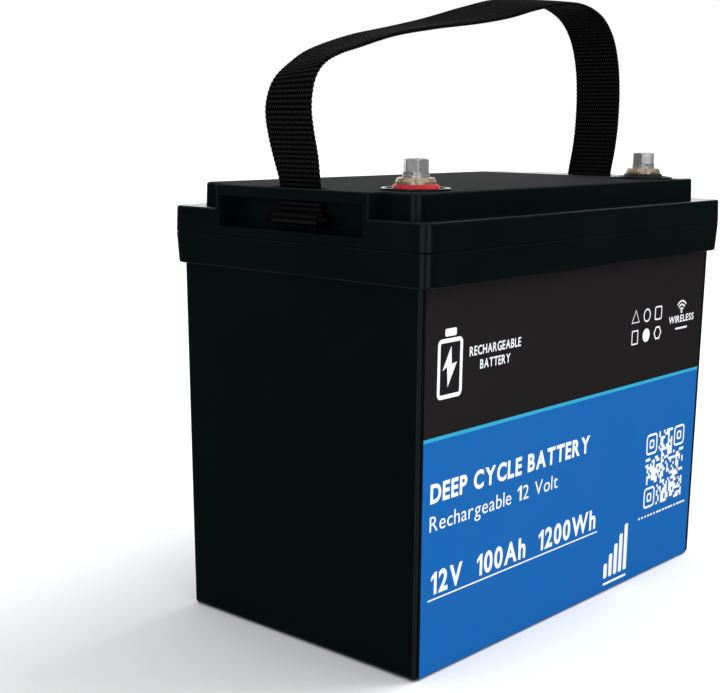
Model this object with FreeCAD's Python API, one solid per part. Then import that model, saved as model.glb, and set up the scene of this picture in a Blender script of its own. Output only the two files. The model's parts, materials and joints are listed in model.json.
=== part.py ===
import FreeCAD, Part
import math
import os
from FreeCAD import Vector

# 12 V deep cycle lithium battery in a black two-part case with a webbing carry strap.
# Millimetres, +Z up, +X along the labelled long side, which faces -Y.
# The origin is the centre of the base.

# Case and lid outline
RIM_LENGTH = 260.0
RIM_WIDTH = 162.0
BODY_LENGTH = 253.0
BODY_WIDTH = 150.4
BODY_DRAFT = 2.0
BODY_CORNER = 3.0
BASE_EDGE = 2.4
RIM_BOTTOM = 175.4
RIM_CORNER = 8.0
RIM_DRAFT = 0.8
SEAM = 190.5
SEAM_GROOVE = 0.4
SEAM_SIZE = (RIM_LENGTH - 2 * SEAM_GROOVE, RIM_WIDTH - 2 * SEAM_GROOVE)
RIM_EDGE = 0.9
FLANGE_TOP = 203.2
FLANGE_DRAFT = 0.3
LID_TOP = 214.5
TIER_LENGTH = 242.0
TIER_WIDTH = 136.0
TIER_CORNER = 7.0
TIER_DRAFT = 0.3
EDGE_ROUND = 1.2
WALL = 3.0
FLOOR = 3.5
LIP_DEPTH = 6.0
LIP_WALL = 1.5
LIP_GAP = 0.35
LIP_ROOT = 3.0
INNER_CORNER = 2.0
TIER_ROOT = 1.0
HOLLOW_GAP = 1.0

# End pockets that hold the strap
END_FACE = 129.7
POCKET_HALF = 45.0
POCKET_CHEEK = 3.0
POCKET_FLOOR = 195.0
POCKET_ROOF = 209.5
POCKET_BACK = 119.5
BAR_BACK = 126.5
SLOT_HALF = 16.5
BLOCK_BASE = 192.5
BLOCK_ROOT = 4.0
BLOCK_EDGE = 0.8

# Carry strap
STRAP_WIDTH = 29.0
STRAP_THICK = 1.8
STRAP_AXIS_Z = 228.0
STRAP_CUT_RADIUS = 18.5
STRAP_CUT_GAP = 0.3
STRAP_SAMPLES = 60
# The arch leans to the right, as the webbing stands when it is left upright.
STRAP_LINE = (
    (-121.4, 203.0),
    (-121.5, 214.5),
    (-124.4, 227.0),
    (-127.7, 239.0),
    (-129.05, 248.5),
    (-127.3, 256.5),
    (-123.0, 263.2),
    (-114.0, 269.6),
    (-101.0, 276.2),
    (-75.0, 283.6),
    (-45.0, 289.0),
    (-15.0, 294.0),
    (15.0, 299.9),
    (42.0, 305.6),
    (68.0, 308.4),
    (88.0, 307.6),
    (105.0, 302.4),
    (116.5, 292.6),
    (123.2, 278.4),
    (125.9, 262.0),
    (125.7, 244.0),
    (123.6, 228.0),
    (121.5, 214.5),
    (121.4, 203.0),
)
PIN_RADIUS = 1.8
PIN_LENGTH = 40.0
PIN_X = 123.3
PIN_Z = 200.0
HEM_GAP = 0.05

# Terminals, M6
TERMINAL_X = 98.0
TERMINAL_Y = -48.0
COLLAR_RADIUS = 15.5
COLLAR_RIM = 1.4
COLLAR_HEIGHT = 1.0
COLLAR_FLOOR = 0.3
RING_RADIUS = 10.8
RING_TOP_RADIUS = 9.9
RING_FOOT = 0.7
RING_HEIGHT = 2.3
INSERT_FOOT_RADIUS = 9.1
INSERT_TOP_RADIUS = 8.4
INSERT_FOOT = 1.1
INSERT_HEIGHT = 2.8
INSERT_SHANK = 6.0
INSERT_BOTTOM = 197.5
INSERT_SLOTS = 8
SLOT_TURN = 39.5
SLOT_WIDTH = 0.8
EDGE_BREAK = 0.3
SHANK_CLEARANCE = 0.2
TAP_RADIUS = 3.03
TAP_DEPTH = 20.0
WASHER_RADIUS = 6.0
WASHER_HOLE = 3.2
WASHER_THICK = 1.3
SPRING_RADIUS = 5.9
SPRING_THICK = 1.3
SPRING_SLIT = 0.8
SPRING_SLANT = 25.0
BOLT_RADIUS = 2.95
BOLT_LENGTH = 16.0
HEAD_ACROSS = 10.4
HEAD_HEIGHT = 5.9
HEAD_CROWN = 1.5
HEAD_DISH = 0.7
HEAD_DISH_RADIUS = 3.4
NUT_ACROSS = 19.0
NUT_HEIGHT = 5.0

# Cells and the stack
CELL_THICK = 50.0
CELL_DEPTH = 118.5
CELL_HEIGHT = 160.0
CELL_EDGE = 2.0
CELL_FRONT = -66.0
SHEET_THICK = 1.0
END_PLATE = 3.0
BAND_THICK = 0.6
BAND_HEIGHT = 16.0
BAND_LEVELS = (62.0, 98.0)
FLOOR_PAD = 2.0
PAD_LEVEL_LOW = 27.0
PAD_LEVEL_HIGH = 133.0
PAD_RADIUS = 8.0
PAD_HEIGHT = 4.0
BUSBAR_THICK = 2.0
BUSBAR_WIDTH = 20.0
SCREW_HEAD_RADIUS = 5.0
SCREW_HEAD_HEIGHT = 4.0
SCREW_RADIUS = 2.95
SCREW_HOLE = 3.1

# Battery management board and wiring
TRAY_THICK = 1.5
SINK_SIZE = (120.0, 70.0, 4.0)
STANDOFF_HEIGHT = 4.5
BOARD_THICK = 1.6
POST_HEIGHT = 4.0
POST_X = 45.0
POST_Y = 20.0
CABLE_RADIUS = 3.5
SENSE_RADIUS = 0.8
LUG_THICK = 2.0
LUG_RADIUS = 9.5
LUG_NECK = 8.0
LUG_REACH = 12.0
LUG_BARREL = 12.0
LUG_WALL = 1.0
LUG_BLIND = 1.5
CRIMP_GAP = 0.05
CONNECTOR_BACK = 32.0
WIRE_LINE = 65.5

LABEL_THICK = 0.25
LABEL_TOP = 174.8
LABEL_WRAP = math.radians(50.0)
WRAP_GAP = 0.06
LABEL_LIFT = 1.0
LABEL_LEFT = -123.3
LABEL_RIGHT = 121.5

# Working values: how near two places count as one, and how far a cut runs past a face
NEAR = 1e-4
PAST = 1.0
BEND_SHARE = 0.45
THREAD_GAP = 0.05
LUG_HOLE_GAP = 0.1
FOAM_SHORT = 10.0
SCREW_BLIND = 0.5

# Board fittings
BOARD_INSET = 2.0
BOARD_HOLES = (54.0, 30.0)
BOARD_HOLE_RADIUS = 1.6
STANDOFF_RADIUS = 2.8
BOARD_SCREW_RADIUS = 1.5
BOARD_SCREW_HEAD = (2.7, 2.0)
BOARD_SCREW_SHANK = 5.5
MOSFET_SIZE = (8.5, 12.0)
MOSFET_ROWS = (-22.0, 10.0)
MOSFET_START = -40.0
MOSFET_PITCH = 11.0
RESISTOR_SIZE = (8.0, 3.5, 1.2)
RESISTOR_START = (22.0, -14.0)
RESISTOR_PITCH = 6.0
CAPACITOR_SIZE = (4.0, 9.0)
CAPACITOR_PLACES = (-46.0, -36.0, -26.0)
CHIP_SIZE = (12.0, 12.0, 1.6)
CHIP_X = -22.0
RADIO_CORNER = (-50.0, 4.0)
RADIO_SIZE = (20.0, 13.0, 2.6)
CONNECTOR_SIZE = (26.0, 7.0, 6.0)
FIN_START = -48.0
FIN_PITCH = 12.0
FIN_HALF = 2.0

# Probe bead
BEAD_RADIUS = 1.5
BEAD_LENGTH = 10.0
BEAD_X = 38.0
BEAD_Z = 118.0

UP = Vector(0, 0, 1)


def save(name, shape):
    shape.exportStep("parts/" + name + ".step")


def block(x0, x1, y0, y1, z0, z1):
    return Part.makeBox(x1 - x0, y1 - y0, z1 - z0, Vector(x0, y0, z0))


def drum(radius, height, x, y, z, axis=UP):
    return Part.makeCylinder(radius, height, Vector(x, y, z), axis)


def rounded_wire(length, width, radius, z):
    """A rectangle with round corners, centred on the Z axis."""
    a = length / 2 - radius
    b = width / 2 - radius
    middle = radius * math.sqrt(0.5)
    edges = []
    corners = ((a, b, 1, 1), (-a, b, -1, 1), (-a, -b, -1, -1), (a, -b, 1, -1))
    for index, (cx, cy, sx, sy) in enumerate(corners):
        along_x = Vector(cx + sx * radius, cy, z)
        along_y = Vector(cx, cy + sy * radius, z)
        centre = Vector(cx + sx * middle, cy + sy * middle, z)
        first, last = (along_x, along_y) if index % 2 == 0 else (along_y, along_x)
        edges.append(Part.Arc(first, centre, last).toShape())
    ends = [(edge.Vertexes[0].Point, edge.Vertexes[-1].Point) for edge in edges]
    sides = []
    for index in range(4):
        leave = ends[index][1]
        arrive = ends[(index + 1) % 4][0]
        sides.append(edges[index])
        sides.append(Part.LineSegment(leave, arrive).toShape())
    return Part.Wire(sides)


def drafted(low_size, high_size, radius, z0, z1):
    low = rounded_wire(low_size[0], low_size[1], radius, z0)
    high = rounded_wire(high_size[0], high_size[1], radius, z1)
    return Part.makeLoft([low, high], True, True)


def level_edges(shape, z):
    found = []
    for edge in shape.Edges:
        box = edge.BoundBox
        if abs(box.ZMin - z) < NEAR and abs(box.ZMax - z) < NEAR:
            found.append(edge)
    return found


def hexagon(across, height, x, y, z, turn=0.0):
    radius = across / math.sqrt(3.0)
    points = []
    for index in range(7):
        angle = math.radians(60.0 * index + turn)
        points.append(Vector(x + radius * math.cos(angle), y + radius * math.sin(angle), z))
    return Part.Face(Part.makePolygon(points)).extrude(Vector(0, 0, height))


def cable(points, radius):
    """A round cable through points, with the largest smooth bend at each inner point."""
    route = [Vector(*point) for point in points]
    edges = []
    start = route[0]
    for before, corner, after in zip(route, route[1:], route[2:]):
        run_in = corner - before
        run_out = after - corner
        turn = run_in.getAngle(run_out)
        setback = BEND_SHARE * min(run_in.Length, run_out.Length)
        bend = setback / math.tan(turn / 2)
        enter = corner - run_in.normalize() * setback
        leave = corner + run_out.normalize() * setback
        inward = (enter + leave) * 0.5 - corner
        reach = bend / math.cos(turn / 2) - bend
        middle = corner + inward.normalize() * reach
        edges.append(Part.LineSegment(start, enter).toShape())
        edges.append(Part.Arc(enter, middle, leave).toShape())
        start = leave
    edges.append(Part.LineSegment(start, route[-1]).toShape())
    path = Part.Wire(edges)
    heading = route[1] - route[0]
    section = Part.Wire(Part.makeCircle(radius, route[0], heading))
    return path.makePipeShell([section], True, False)


def lug(centre, normal, heading, hole):
    """A ring lug: its plate rises from centre along normal, its barrel runs along heading."""
    plate = drum(LUG_RADIUS, LUG_THICK, 0, 0, 0)
    neck = block(0, LUG_REACH + PAST, -LUG_NECK / 2, LUG_NECK / 2, 0, LUG_THICK)
    bore = CABLE_RADIUS + CRIMP_GAP
    middle = LUG_THICK / 2
    barrel = drum(bore + LUG_WALL, LUG_BARREL, LUG_REACH, 0, middle, Vector(1, 0, 0))
    shape = plate.fuse([neck, barrel])
    shape = shape.cut(drum(bore, LUG_BARREL, LUG_REACH + LUG_BLIND, 0, middle, Vector(1, 0, 0)))
    shape = shape.cut(drum(hole, LUG_THICK + 2, 0, 0, -1))
    side = Vector(*normal).cross(Vector(*heading))
    turn = FreeCAD.Rotation(Vector(*heading), side, Vector(*normal), "XZY")
    shape.Placement = FreeCAD.Placement(Vector(*centre), turn)
    return shape


def make_case():
    low = (BODY_LENGTH - 2 * BODY_DRAFT, BODY_WIDTH - 2 * BODY_DRAFT)
    body = drafted(low, (BODY_LENGTH, BODY_WIDTH), BODY_CORNER, 0, RIM_BOTTOM)
    body = body.makeFillet(BASE_EDGE, level_edges(body, 0))
    small = (RIM_LENGTH - 2 * RIM_DRAFT, RIM_WIDTH - 2 * RIM_DRAFT)
    rim = drafted(small, (RIM_LENGTH, RIM_WIDTH), RIM_CORNER, RIM_BOTTOM, SEAM - SEAM_GROOVE)
    rim = rim.makeFillet(RIM_EDGE, level_edges(rim, RIM_BOTTOM))
    rim = rim.fuse(drafted((RIM_LENGTH, RIM_WIDTH), SEAM_SIZE, RIM_CORNER, SEAM - SEAM_GROOVE, SEAM))
    slope = 2 * BODY_DRAFT / RIM_BOTTOM
    inner_low = (low[0] - 2 * WALL + slope * FLOOR, low[1] - 2 * WALL + slope * FLOOR)
    grow = slope * (SEAM + PAST - FLOOR)
    inner_high = (inner_low[0] + grow, inner_low[1] + grow)
    hollow = drafted(inner_low, inner_high, INNER_CORNER, FLOOR, SEAM + PAST)
    return body.fuse(rim).cut(hollow)


def make_lid():
    flange_small = (RIM_LENGTH - 2 * FLANGE_DRAFT, RIM_WIDTH - 2 * FLANGE_DRAFT)
    skirt = SEAM + SEAM_GROOVE
    flange = drafted((RIM_LENGTH, RIM_WIDTH), flange_small, RIM_CORNER, skirt, FLANGE_TOP)
    flange = flange.makeFillet(EDGE_ROUND, level_edges(flange, FLANGE_TOP))
    flange = flange.fuse(drafted(SEAM_SIZE, (RIM_LENGTH, RIM_WIDTH), RIM_CORNER, SEAM, skirt))
    tier_base = FLANGE_TOP - TIER_ROOT
    tier_big = (TIER_LENGTH + 2 * TIER_DRAFT, TIER_WIDTH + 2 * TIER_DRAFT)
    tier = drafted(tier_big, (TIER_LENGTH, TIER_WIDTH), TIER_CORNER, tier_base, LID_TOP)
    tier = tier.makeFillet(EDGE_ROUND, level_edges(tier, LID_TOP))
    cheek = POCKET_HALF + POCKET_CHEEK
    outside = flange.fuse(tier)
    seat = POCKET_FLOOR - WALL
    wells = []
    for side in (-1, 1):
        near, far = sorted((side * (TIER_LENGTH / 2 - BLOCK_ROOT), side * END_FACE))
        end_block = block(near, far, -cheek, cheek, BLOCK_BASE, LID_TOP)
        edges = []
        for edge in end_block.Edges:
            box = edge.BoundBox
            outer = abs(box.XMin - side * END_FACE) < NEAR and abs(box.XMax - side * END_FACE) < NEAR
            top = abs(box.ZMin - LID_TOP) < NEAR and box.XLength > 1.0
            if (outer and box.ZMax > LID_TOP - NEAR) or top:
                edges.append(edge)
        end_block = end_block.makeFillet(BLOCK_EDGE, edges)
        outside = outside.fuse(end_block)
        near, far = sorted((side * (POCKET_BACK - WALL), side * END_FACE))
        wells.append(block(near, far, -cheek, cheek, seat, LID_TOP))
    low_size = (BODY_LENGTH - 2 * WALL - HOLLOW_GAP, BODY_WIDTH - 2 * WALL - HOLLOW_GAP)
    hollow = drafted(low_size, low_size, INNER_CORNER, SEAM - PAST, FLANGE_TOP - WALL)
    high_size = (TIER_LENGTH - 2 * WALL, TIER_WIDTH - 2 * WALL)
    hollow_base = FLANGE_TOP - WALL - PAST
    hollow = hollow.fuse(drafted(high_size, high_size, TIER_CORNER - WALL, hollow_base, LID_TOP - WALL))
    hollow = hollow.cut(wells[0]).cut(wells[1])
    lid = outside.cut(hollow)
    lip_big = (BODY_LENGTH - 2 * WALL - LIP_GAP, BODY_WIDTH - 2 * WALL - LIP_GAP)
    lip_small = (lip_big[0] - 2 * LIP_WALL, lip_big[1] - 2 * LIP_WALL)
    lip = drafted(lip_big, lip_big, INNER_CORNER, SEAM - LIP_DEPTH, SEAM + LIP_ROOT)
    lip = lip.cut(drafted(lip_small, lip_small, LIP_WALL, SEAM - LIP_DEPTH - PAST, SEAM + LIP_ROOT + PAST))
    lid = lid.fuse(lip)
    for side in (-1, 1):
        near, far = sorted((side * POCKET_BACK, side * (END_FACE + PAST)))
        lid = lid.cut(block(near, far, -POCKET_HALF, POCKET_HALF, POCKET_FLOOR, POCKET_ROOF))
        near, far = sorted((side * POCKET_BACK, side * BAR_BACK))
        lid = lid.cut(block(near, far, -SLOT_HALF, SLOT_HALF, POCKET_ROOF - PAST, LID_TOP + PAST))
        hole_base = LID_TOP - 2 * WALL
        hole = drum(INSERT_SHANK + SHANK_CLEARANCE, 3 * WALL, side * TERMINAL_X, TERMINAL_Y, hole_base)
        lid = lid.cut(hole)
    return lid


def make_label():
    """A sheet down the drafted front face and round the base edge, its sides leaning with the case."""
    draft = math.atan2(BODY_DRAFT, RIM_BOTTOM)
    fall = BODY_DRAFT / RIM_BOTTOM
    front = -BODY_WIDTH / 2 + BODY_DRAFT
    turn_y = front - fall * BASE_EDGE + BASE_EDGE / math.cos(draft)
    middle = (draft + LABEL_WRAP) / 2

    def at(radius, angle):
        return Vector(LABEL_LEFT, turn_y - radius * math.cos(angle), BASE_EDGE - radius * math.sin(angle))

    inner = BASE_EDGE + WRAP_GAP
    outer = BASE_EDGE + LABEL_THICK
    back_top = Vector(LABEL_LEFT, front - fall * LABEL_TOP, LABEL_TOP)
    back_low = Vector(LABEL_LEFT, front - fall * (BASE_EDGE + LABEL_LIFT), BASE_EDGE + LABEL_LIFT)
    front_top = back_top + Vector(0, -LABEL_THICK / math.cos(draft), 0)
    edges = [
        Part.LineSegment(back_top, back_low).toShape(),
        Part.LineSegment(back_low, at(inner, draft)).toShape(),
        Part.Arc(at(inner, draft), at(inner, middle), at(inner, LABEL_WRAP)).toShape(),
        Part.LineSegment(at(inner, LABEL_WRAP), at(outer, LABEL_WRAP)).toShape(),
        Part.Arc(at(outer, LABEL_WRAP), at(outer, middle), at(outer, draft)).toShape(),
        Part.LineSegment(at(outer, draft), front_top).toShape(),
        Part.LineSegment(front_top, back_top).toShape(),
    ]
    sheet = Part.Face(Part.Wire(edges)).extrude(Vector(LABEL_RIGHT - LABEL_LEFT, 0, 0))
    corners = []
    for x, z in ((LABEL_LEFT, RIM_BOTTOM), (LABEL_RIGHT, RIM_BOTTOM), (LABEL_RIGHT, 0), (LABEL_LEFT, 0)):
        inward = BODY_DRAFT - fall * z
        lean = -inward if x > 0 else inward
        corners.append(Vector(x + lean, -BODY_WIDTH, z))
    corners.append(corners[0])
    outline = Part.Face(Part.makePolygon(corners)).extrude(Vector(0, BODY_WIDTH, 0))
    return sheet.common(outline)


def strap_band():
    """The whole webbing from slot to slot: its side view, given its width along Y."""
    line = Part.BSplineCurve()
    line.interpolate([Vector(x, 0, z) for x, z in STRAP_LINE])
    first = line.FirstParameter
    step = (line.LastParameter - first) / STRAP_SAMPLES
    sides = []
    for offset in (STRAP_THICK / 2, -STRAP_THICK / 2):
        points = []
        for index in range(STRAP_SAMPLES + 1):
            place = first + step * index
            along = line.tangent(place)[0]
            points.append(line.value(place) + Vector(-along.z, 0, along.x) * offset)
        side = Part.BSplineCurve()
        side.interpolate(points)
        sides.append(side.toShape())
    outer, inner = sides
    close_left = Part.LineSegment(outer.Vertexes[0].Point, inner.Vertexes[0].Point).toShape()
    close_right = Part.LineSegment(outer.Vertexes[-1].Point, inner.Vertexes[-1].Point).toShape()
    outline = Part.Wire(Part.__sortEdges__([outer, close_right, inner, close_left]))
    face = Part.Face(outline)
    face.translate(Vector(0, -STRAP_WIDTH / 2, 0))
    return face.extrude(Vector(0, STRAP_WIDTH, 0))


def make_strap():
    """The webbing parts along a circle about its fold axis, so that it can swing clear."""
    band = strap_band()
    reach = RIM_LENGTH
    along = Vector(1, 0, 0)
    half = STRAP_WIDTH / 2 + PAST
    below = block(-reach, reach, -half, half, 0, STRAP_AXIS_Z)
    moving_cut = drum(STRAP_CUT_RADIUS, 2 * reach, -reach, 0, STRAP_AXIS_Z, along)
    save("carry_strap", band.cut(below.fuse(moving_cut)).Solids[0])
    inner = STRAP_CUT_RADIUS - STRAP_CUT_GAP
    kept = below.fuse(drum(inner, 2 * reach, -reach, 0, STRAP_AXIS_Z, along))
    hem_inner = PIN_RADIUS + HEM_GAP
    hem_outer = hem_inner + STRAP_THICK
    for side, name in ((-1, "left"), (1, "right")):
        near, far = sorted((side * 100.0, side * reach))
        tail = band.common(kept).common(block(near, far, -half, half, 0, LID_TOP * 2))
        back = -STRAP_WIDTH / 2
        hem = drum(hem_outer, STRAP_WIDTH, side * PIN_X, back, PIN_Z, Vector(0, 1, 0))
        hole = drum(hem_inner, STRAP_WIDTH + 2, side * PIN_X, back - 1, PIN_Z, Vector(0, 1, 0))
        save("strap_tail_" + name, tail.fuse(hem).cut(hole))
        pin = drum(PIN_RADIUS, PIN_LENGTH, side * PIN_X, -PIN_LENGTH / 2, PIN_Z, Vector(0, 1, 0))
        save("strap_pin_" + name, pin)


def turned(profile, x, y):
    """A solid of revolution about a vertical line, from (radius, height) points."""
    points = [Vector(radius, 0, z) for radius, z in profile]
    points.append(points[0])
    shape = Part.Face(Part.makePolygon(points)).revolve(Vector(0, 0, 0), UP, 360)
    shape.translate(Vector(x, y, 0))
    return shape


def make_collar(x):
    hole = INSERT_SHANK + SHANK_CLEARANCE
    top = LID_TOP + COLLAR_HEIGHT
    dish = LID_TOP + COLLAR_FLOOR
    inner = COLLAR_RADIUS - COLLAR_RIM
    profile = (
        (hole, LID_TOP),
        (COLLAR_RADIUS, LID_TOP),
        (COLLAR_RADIUS, top - EDGE_BREAK),
        (COLLAR_RADIUS - EDGE_BREAK, top),
        (inner, top),
        (inner - 2 * EDGE_BREAK, dish),
        (hole, dish),
    )
    return turned(profile, x, TERMINAL_Y)


def make_ring(x):
    """A short tapered cup foot under the insert."""
    hole = INSERT_SHANK + SHANK_CLEARANCE
    low = LID_TOP + COLLAR_FLOOR
    high = low + RING_HEIGHT
    profile = (
        (hole, low),
        (RING_RADIUS, low),
        (RING_RADIUS, low + RING_FOOT),
        (RING_TOP_RADIUS, high - EDGE_BREAK),
        (RING_TOP_RADIUS - EDGE_BREAK, high),
        (hole, high),
    )
    return turned(profile, x, TERMINAL_Y)


def make_insert(x):
    low = LID_TOP + COLLAR_FLOOR + RING_HEIGHT
    high = low + INSERT_HEIGHT
    profile = (
        (0, INSERT_BOTTOM),
        (INSERT_SHANK, INSERT_BOTTOM),
        (INSERT_SHANK, low),
        (INSERT_FOOT_RADIUS, low),
        (INSERT_FOOT_RADIUS, low + INSERT_FOOT),
        (INSERT_TOP_RADIUS, high - EDGE_BREAK),
        (INSERT_TOP_RADIUS - EDGE_BREAK, high),
        (0, high),
    )
    shape = turned(profile, x, TERMINAL_Y)
    shape = shape.cut(drum(TAP_RADIUS, TAP_DEPTH + 1, x, TERMINAL_Y, high - TAP_DEPTH))
    inner = INSERT_TOP_RADIUS - 2 * EDGE_BREAK
    for index in range(INSERT_SLOTS):
        half = SLOT_WIDTH / 2
        groove = block(inner, INSERT_FOOT_RADIUS + 1, -half, half, low + EDGE_BREAK, high + 1)
        groove.rotate(Vector(0, 0, 0), UP, SLOT_TURN + 360.0 * index / INSERT_SLOTS)
        groove.translate(Vector(x, TERMINAL_Y, 0))
        shape = shape.cut(groove)
    return shape


def make_bolt(x, z, turn):
    head = hexagon(HEAD_ACROSS, HEAD_HEIGHT, x, TERMINAL_Y, z, turn)
    corner = HEAD_ACROSS / math.sqrt(3.0)
    top = z + HEAD_HEIGHT
    blank = (
        (0, z),
        (corner - 2 * EDGE_BREAK, z),
        (corner, z + 2 * EDGE_BREAK),
        (corner, top - HEAD_CROWN),
        (HEAD_ACROSS / 2 - EDGE_BREAK, top),
        (HEAD_DISH_RADIUS, top),
        (HEAD_DISH_RADIUS - HEAD_DISH, top - HEAD_DISH),
        (0, top - HEAD_DISH),
    )
    head = head.common(turned(blank, x, TERMINAL_Y))
    shank = drum(BOLT_RADIUS, BOLT_LENGTH, x, TERMINAL_Y, z - BOLT_LENGTH)
    shank = shank.makeChamfer(2 * EDGE_BREAK, level_edges(shank, z - BOLT_LENGTH))
    return head.fuse(shank)


def make_flat_washer(x, z):
    ring = drum(WASHER_RADIUS, WASHER_THICK, x, TERMINAL_Y, z)
    ring = ring.makeChamfer(EDGE_BREAK, level_edges(ring, z + WASHER_THICK))
    return ring.cut(drum(WASHER_HOLE, WASHER_THICK + 2, x, TERMINAL_Y, z - 1))


def make_spring_washer(x, z, turn):
    ring = drum(SPRING_RADIUS, SPRING_THICK, x, TERMINAL_Y, z)
    ring = ring.cut(drum(WASHER_HOLE, SPRING_THICK + 2, x, TERMINAL_Y, z - 1))
    half = SPRING_SLIT / 2
    slit = block(WASHER_HOLE - 1, SPRING_RADIUS + 1, -half, half, -SPRING_RADIUS, SPRING_RADIUS)
    slit.rotate(Vector(0, 0, 0), Vector(1, 0, 0), SPRING_SLANT)
    slit.rotate(Vector(0, 0, 0), UP, turn)
    slit.translate(Vector(x, TERMINAL_Y, z + SPRING_THICK / 2))
    return ring.cut(slit)


def make_terminals():
    insert_top = LID_TOP + COLLAR_FLOOR + RING_HEIGHT + INSERT_HEIGHT
    nuts = []
    for side, name, turn in ((-1, "positive", 22.0), (1, "negative", 49.0)):
        x = side * TERMINAL_X
        save(name + "_terminal_collar", make_collar(x))
        save(name + "_terminal_ring", make_ring(x))
        save(name + "_terminal_insert", make_insert(x))
        save(name + "_flat_washer", make_flat_washer(x, insert_top))
        spring_z = insert_top + WASHER_THICK
        save(name + "_spring_washer", make_spring_washer(x, spring_z, turn + 180))
        save(name + "_terminal_bolt", make_bolt(x, spring_z + SPRING_THICK, turn))
        under = LID_TOP - WALL
        for z in (under - NUT_HEIGHT, under - 2 * NUT_HEIGHT - LUG_THICK):
            nut = hexagon(NUT_ACROSS, NUT_HEIGHT, x, TERMINAL_Y, z)
            nuts.append(nut.cut(drum(INSERT_SHANK + THREAD_GAP, NUT_HEIGHT + 2, x, TERMINAL_Y, z - 1)))
    save("terminal_nuts", Part.makeCompound(nuts))


CELL_PITCH = CELL_THICK + SHEET_THICK
CELL_BOTTOM = FLOOR + FLOOR_PAD
CELL_TOP = CELL_BOTTOM + CELL_HEIGHT
CELL_BACK = CELL_FRONT + CELL_DEPTH
STACK_HALF = 2 * CELL_THICK + 1.5 * SHEET_THICK
CONTACT = CELL_BACK + PAD_HEIGHT
LEVELS = (CELL_BOTTOM + PAD_LEVEL_LOW, CELL_BOTTOM + PAD_LEVEL_HIGH)
REAR = Vector(0, 1, 0)


def cell_x(index):
    return (index - 1.5) * CELL_PITCH


def make_cells():
    for index in range(4):
        x = cell_x(index)
        half = CELL_THICK / 2
        cell = block(x - half, x + half, CELL_FRONT, CELL_BACK, CELL_BOTTOM, CELL_TOP)
        upright = [edge for edge in cell.Edges if edge.BoundBox.YLength > 1.0]
        cell = cell.makeFillet(CELL_EDGE, upright)
        for z in LEVELS:
            pad = drum(PAD_RADIUS, PAD_HEIGHT, x, CELL_BACK, z, REAR)
            cell = cell.fuse(pad.cut(drum(SCREW_RADIUS + THREAD_GAP, PAD_HEIGHT, x, CELL_BACK, z, REAR)))
        save("cell_%d" % (index + 1), cell)
    sheets = []
    for index in range(3):
        x = cell_x(index) + CELL_THICK / 2
        sheets.append(block(x, x + SHEET_THICK, CELL_FRONT, CELL_BACK, CELL_BOTTOM, CELL_TOP))
    save("cell_insulation_sheets", Part.makeCompound(sheets))
    edge = STACK_HALF + END_PLATE
    for side, name in ((-1, "left"), (1, "right")):
        near, far = sorted((side * STACK_HALF, side * edge))
        save("end_plate_" + name, block(near, far, CELL_FRONT, CELL_BACK, CELL_BOTTOM, CELL_TOP))
        near, far = sorted((side * (edge + BAND_THICK), side * (BODY_LENGTH / 2 - BODY_DRAFT - WALL - 1.0)))
        save("end_pad_" + name, block(near, far, CELL_FRONT, CELL_BACK, CELL_BOTTOM, CELL_TOP - FOAM_SHORT))
    bands = []
    for z in BAND_LEVELS:
        reach = edge + BAND_THICK
        outer = block(-reach, reach, CELL_FRONT - BAND_THICK, CELL_BACK + BAND_THICK, z, z + BAND_HEIGHT)
        bands.append(outer.cut(block(-edge, edge, CELL_FRONT, CELL_BACK, z - 1, z + BAND_HEIGHT + 1)))
    save("pack_bands", Part.makeCompound(bands))
    save("floor_pad", block(-118, 118, -68, 68, FLOOR, FLOOR + FLOOR_PAD))
    front = CELL_FRONT - BAND_THICK
    save("front_pad", block(-100, 100, front - 3.0, front, CELL_BOTTOM, CELL_TOP - FOAM_SHORT))


def make_busbars():
    half = BUSBAR_WIDTH / 2
    for index, level in ((0, 0), (1, 1), (2, 0)):
        z = LEVELS[level]
        left = cell_x(index)
        right = cell_x(index + 1)
        bar = block(left - half, right + half, CONTACT, CONTACT + BUSBAR_THICK, z - half, z + half)
        corners = [edge for edge in bar.Edges if edge.BoundBox.YLength > 1.0]
        bar = bar.makeFillet(4.0, corners)
        for x in (left, right):
            bar = bar.cut(drum(SCREW_HOLE, BUSBAR_THICK, x, CONTACT, z, REAR))
        save("busbar_%d_%d" % (index + 1, index + 2), bar)
    screws = []
    for index in range(4):
        for z in LEVELS:
            x = cell_x(index)
            head = drum(SCREW_HEAD_RADIUS, SCREW_HEAD_HEIGHT, x, CONTACT + BUSBAR_THICK, z, REAR)
            reach = PAD_HEIGHT + BUSBAR_THICK - SCREW_BLIND
            shank = drum(SCREW_RADIUS, reach, x, CELL_BACK + SCREW_BLIND, z, REAR)
            screws.append(head.fuse(shank))
    save("busbar_screws", Part.makeCompound(screws))


TRAY_TOP = CELL_TOP + TRAY_THICK
SINK_TOP = TRAY_TOP + SINK_SIZE[2]
BOARD_BOTTOM = SINK_TOP + STANDOFF_HEIGHT
BOARD_TOP = BOARD_BOTTOM + BOARD_THICK
LUG_LEVEL = BOARD_TOP + POST_HEIGHT + LUG_THICK / 2
TERMINAL_LUG = LID_TOP - WALL - NUT_HEIGHT - LUG_THICK


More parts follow.
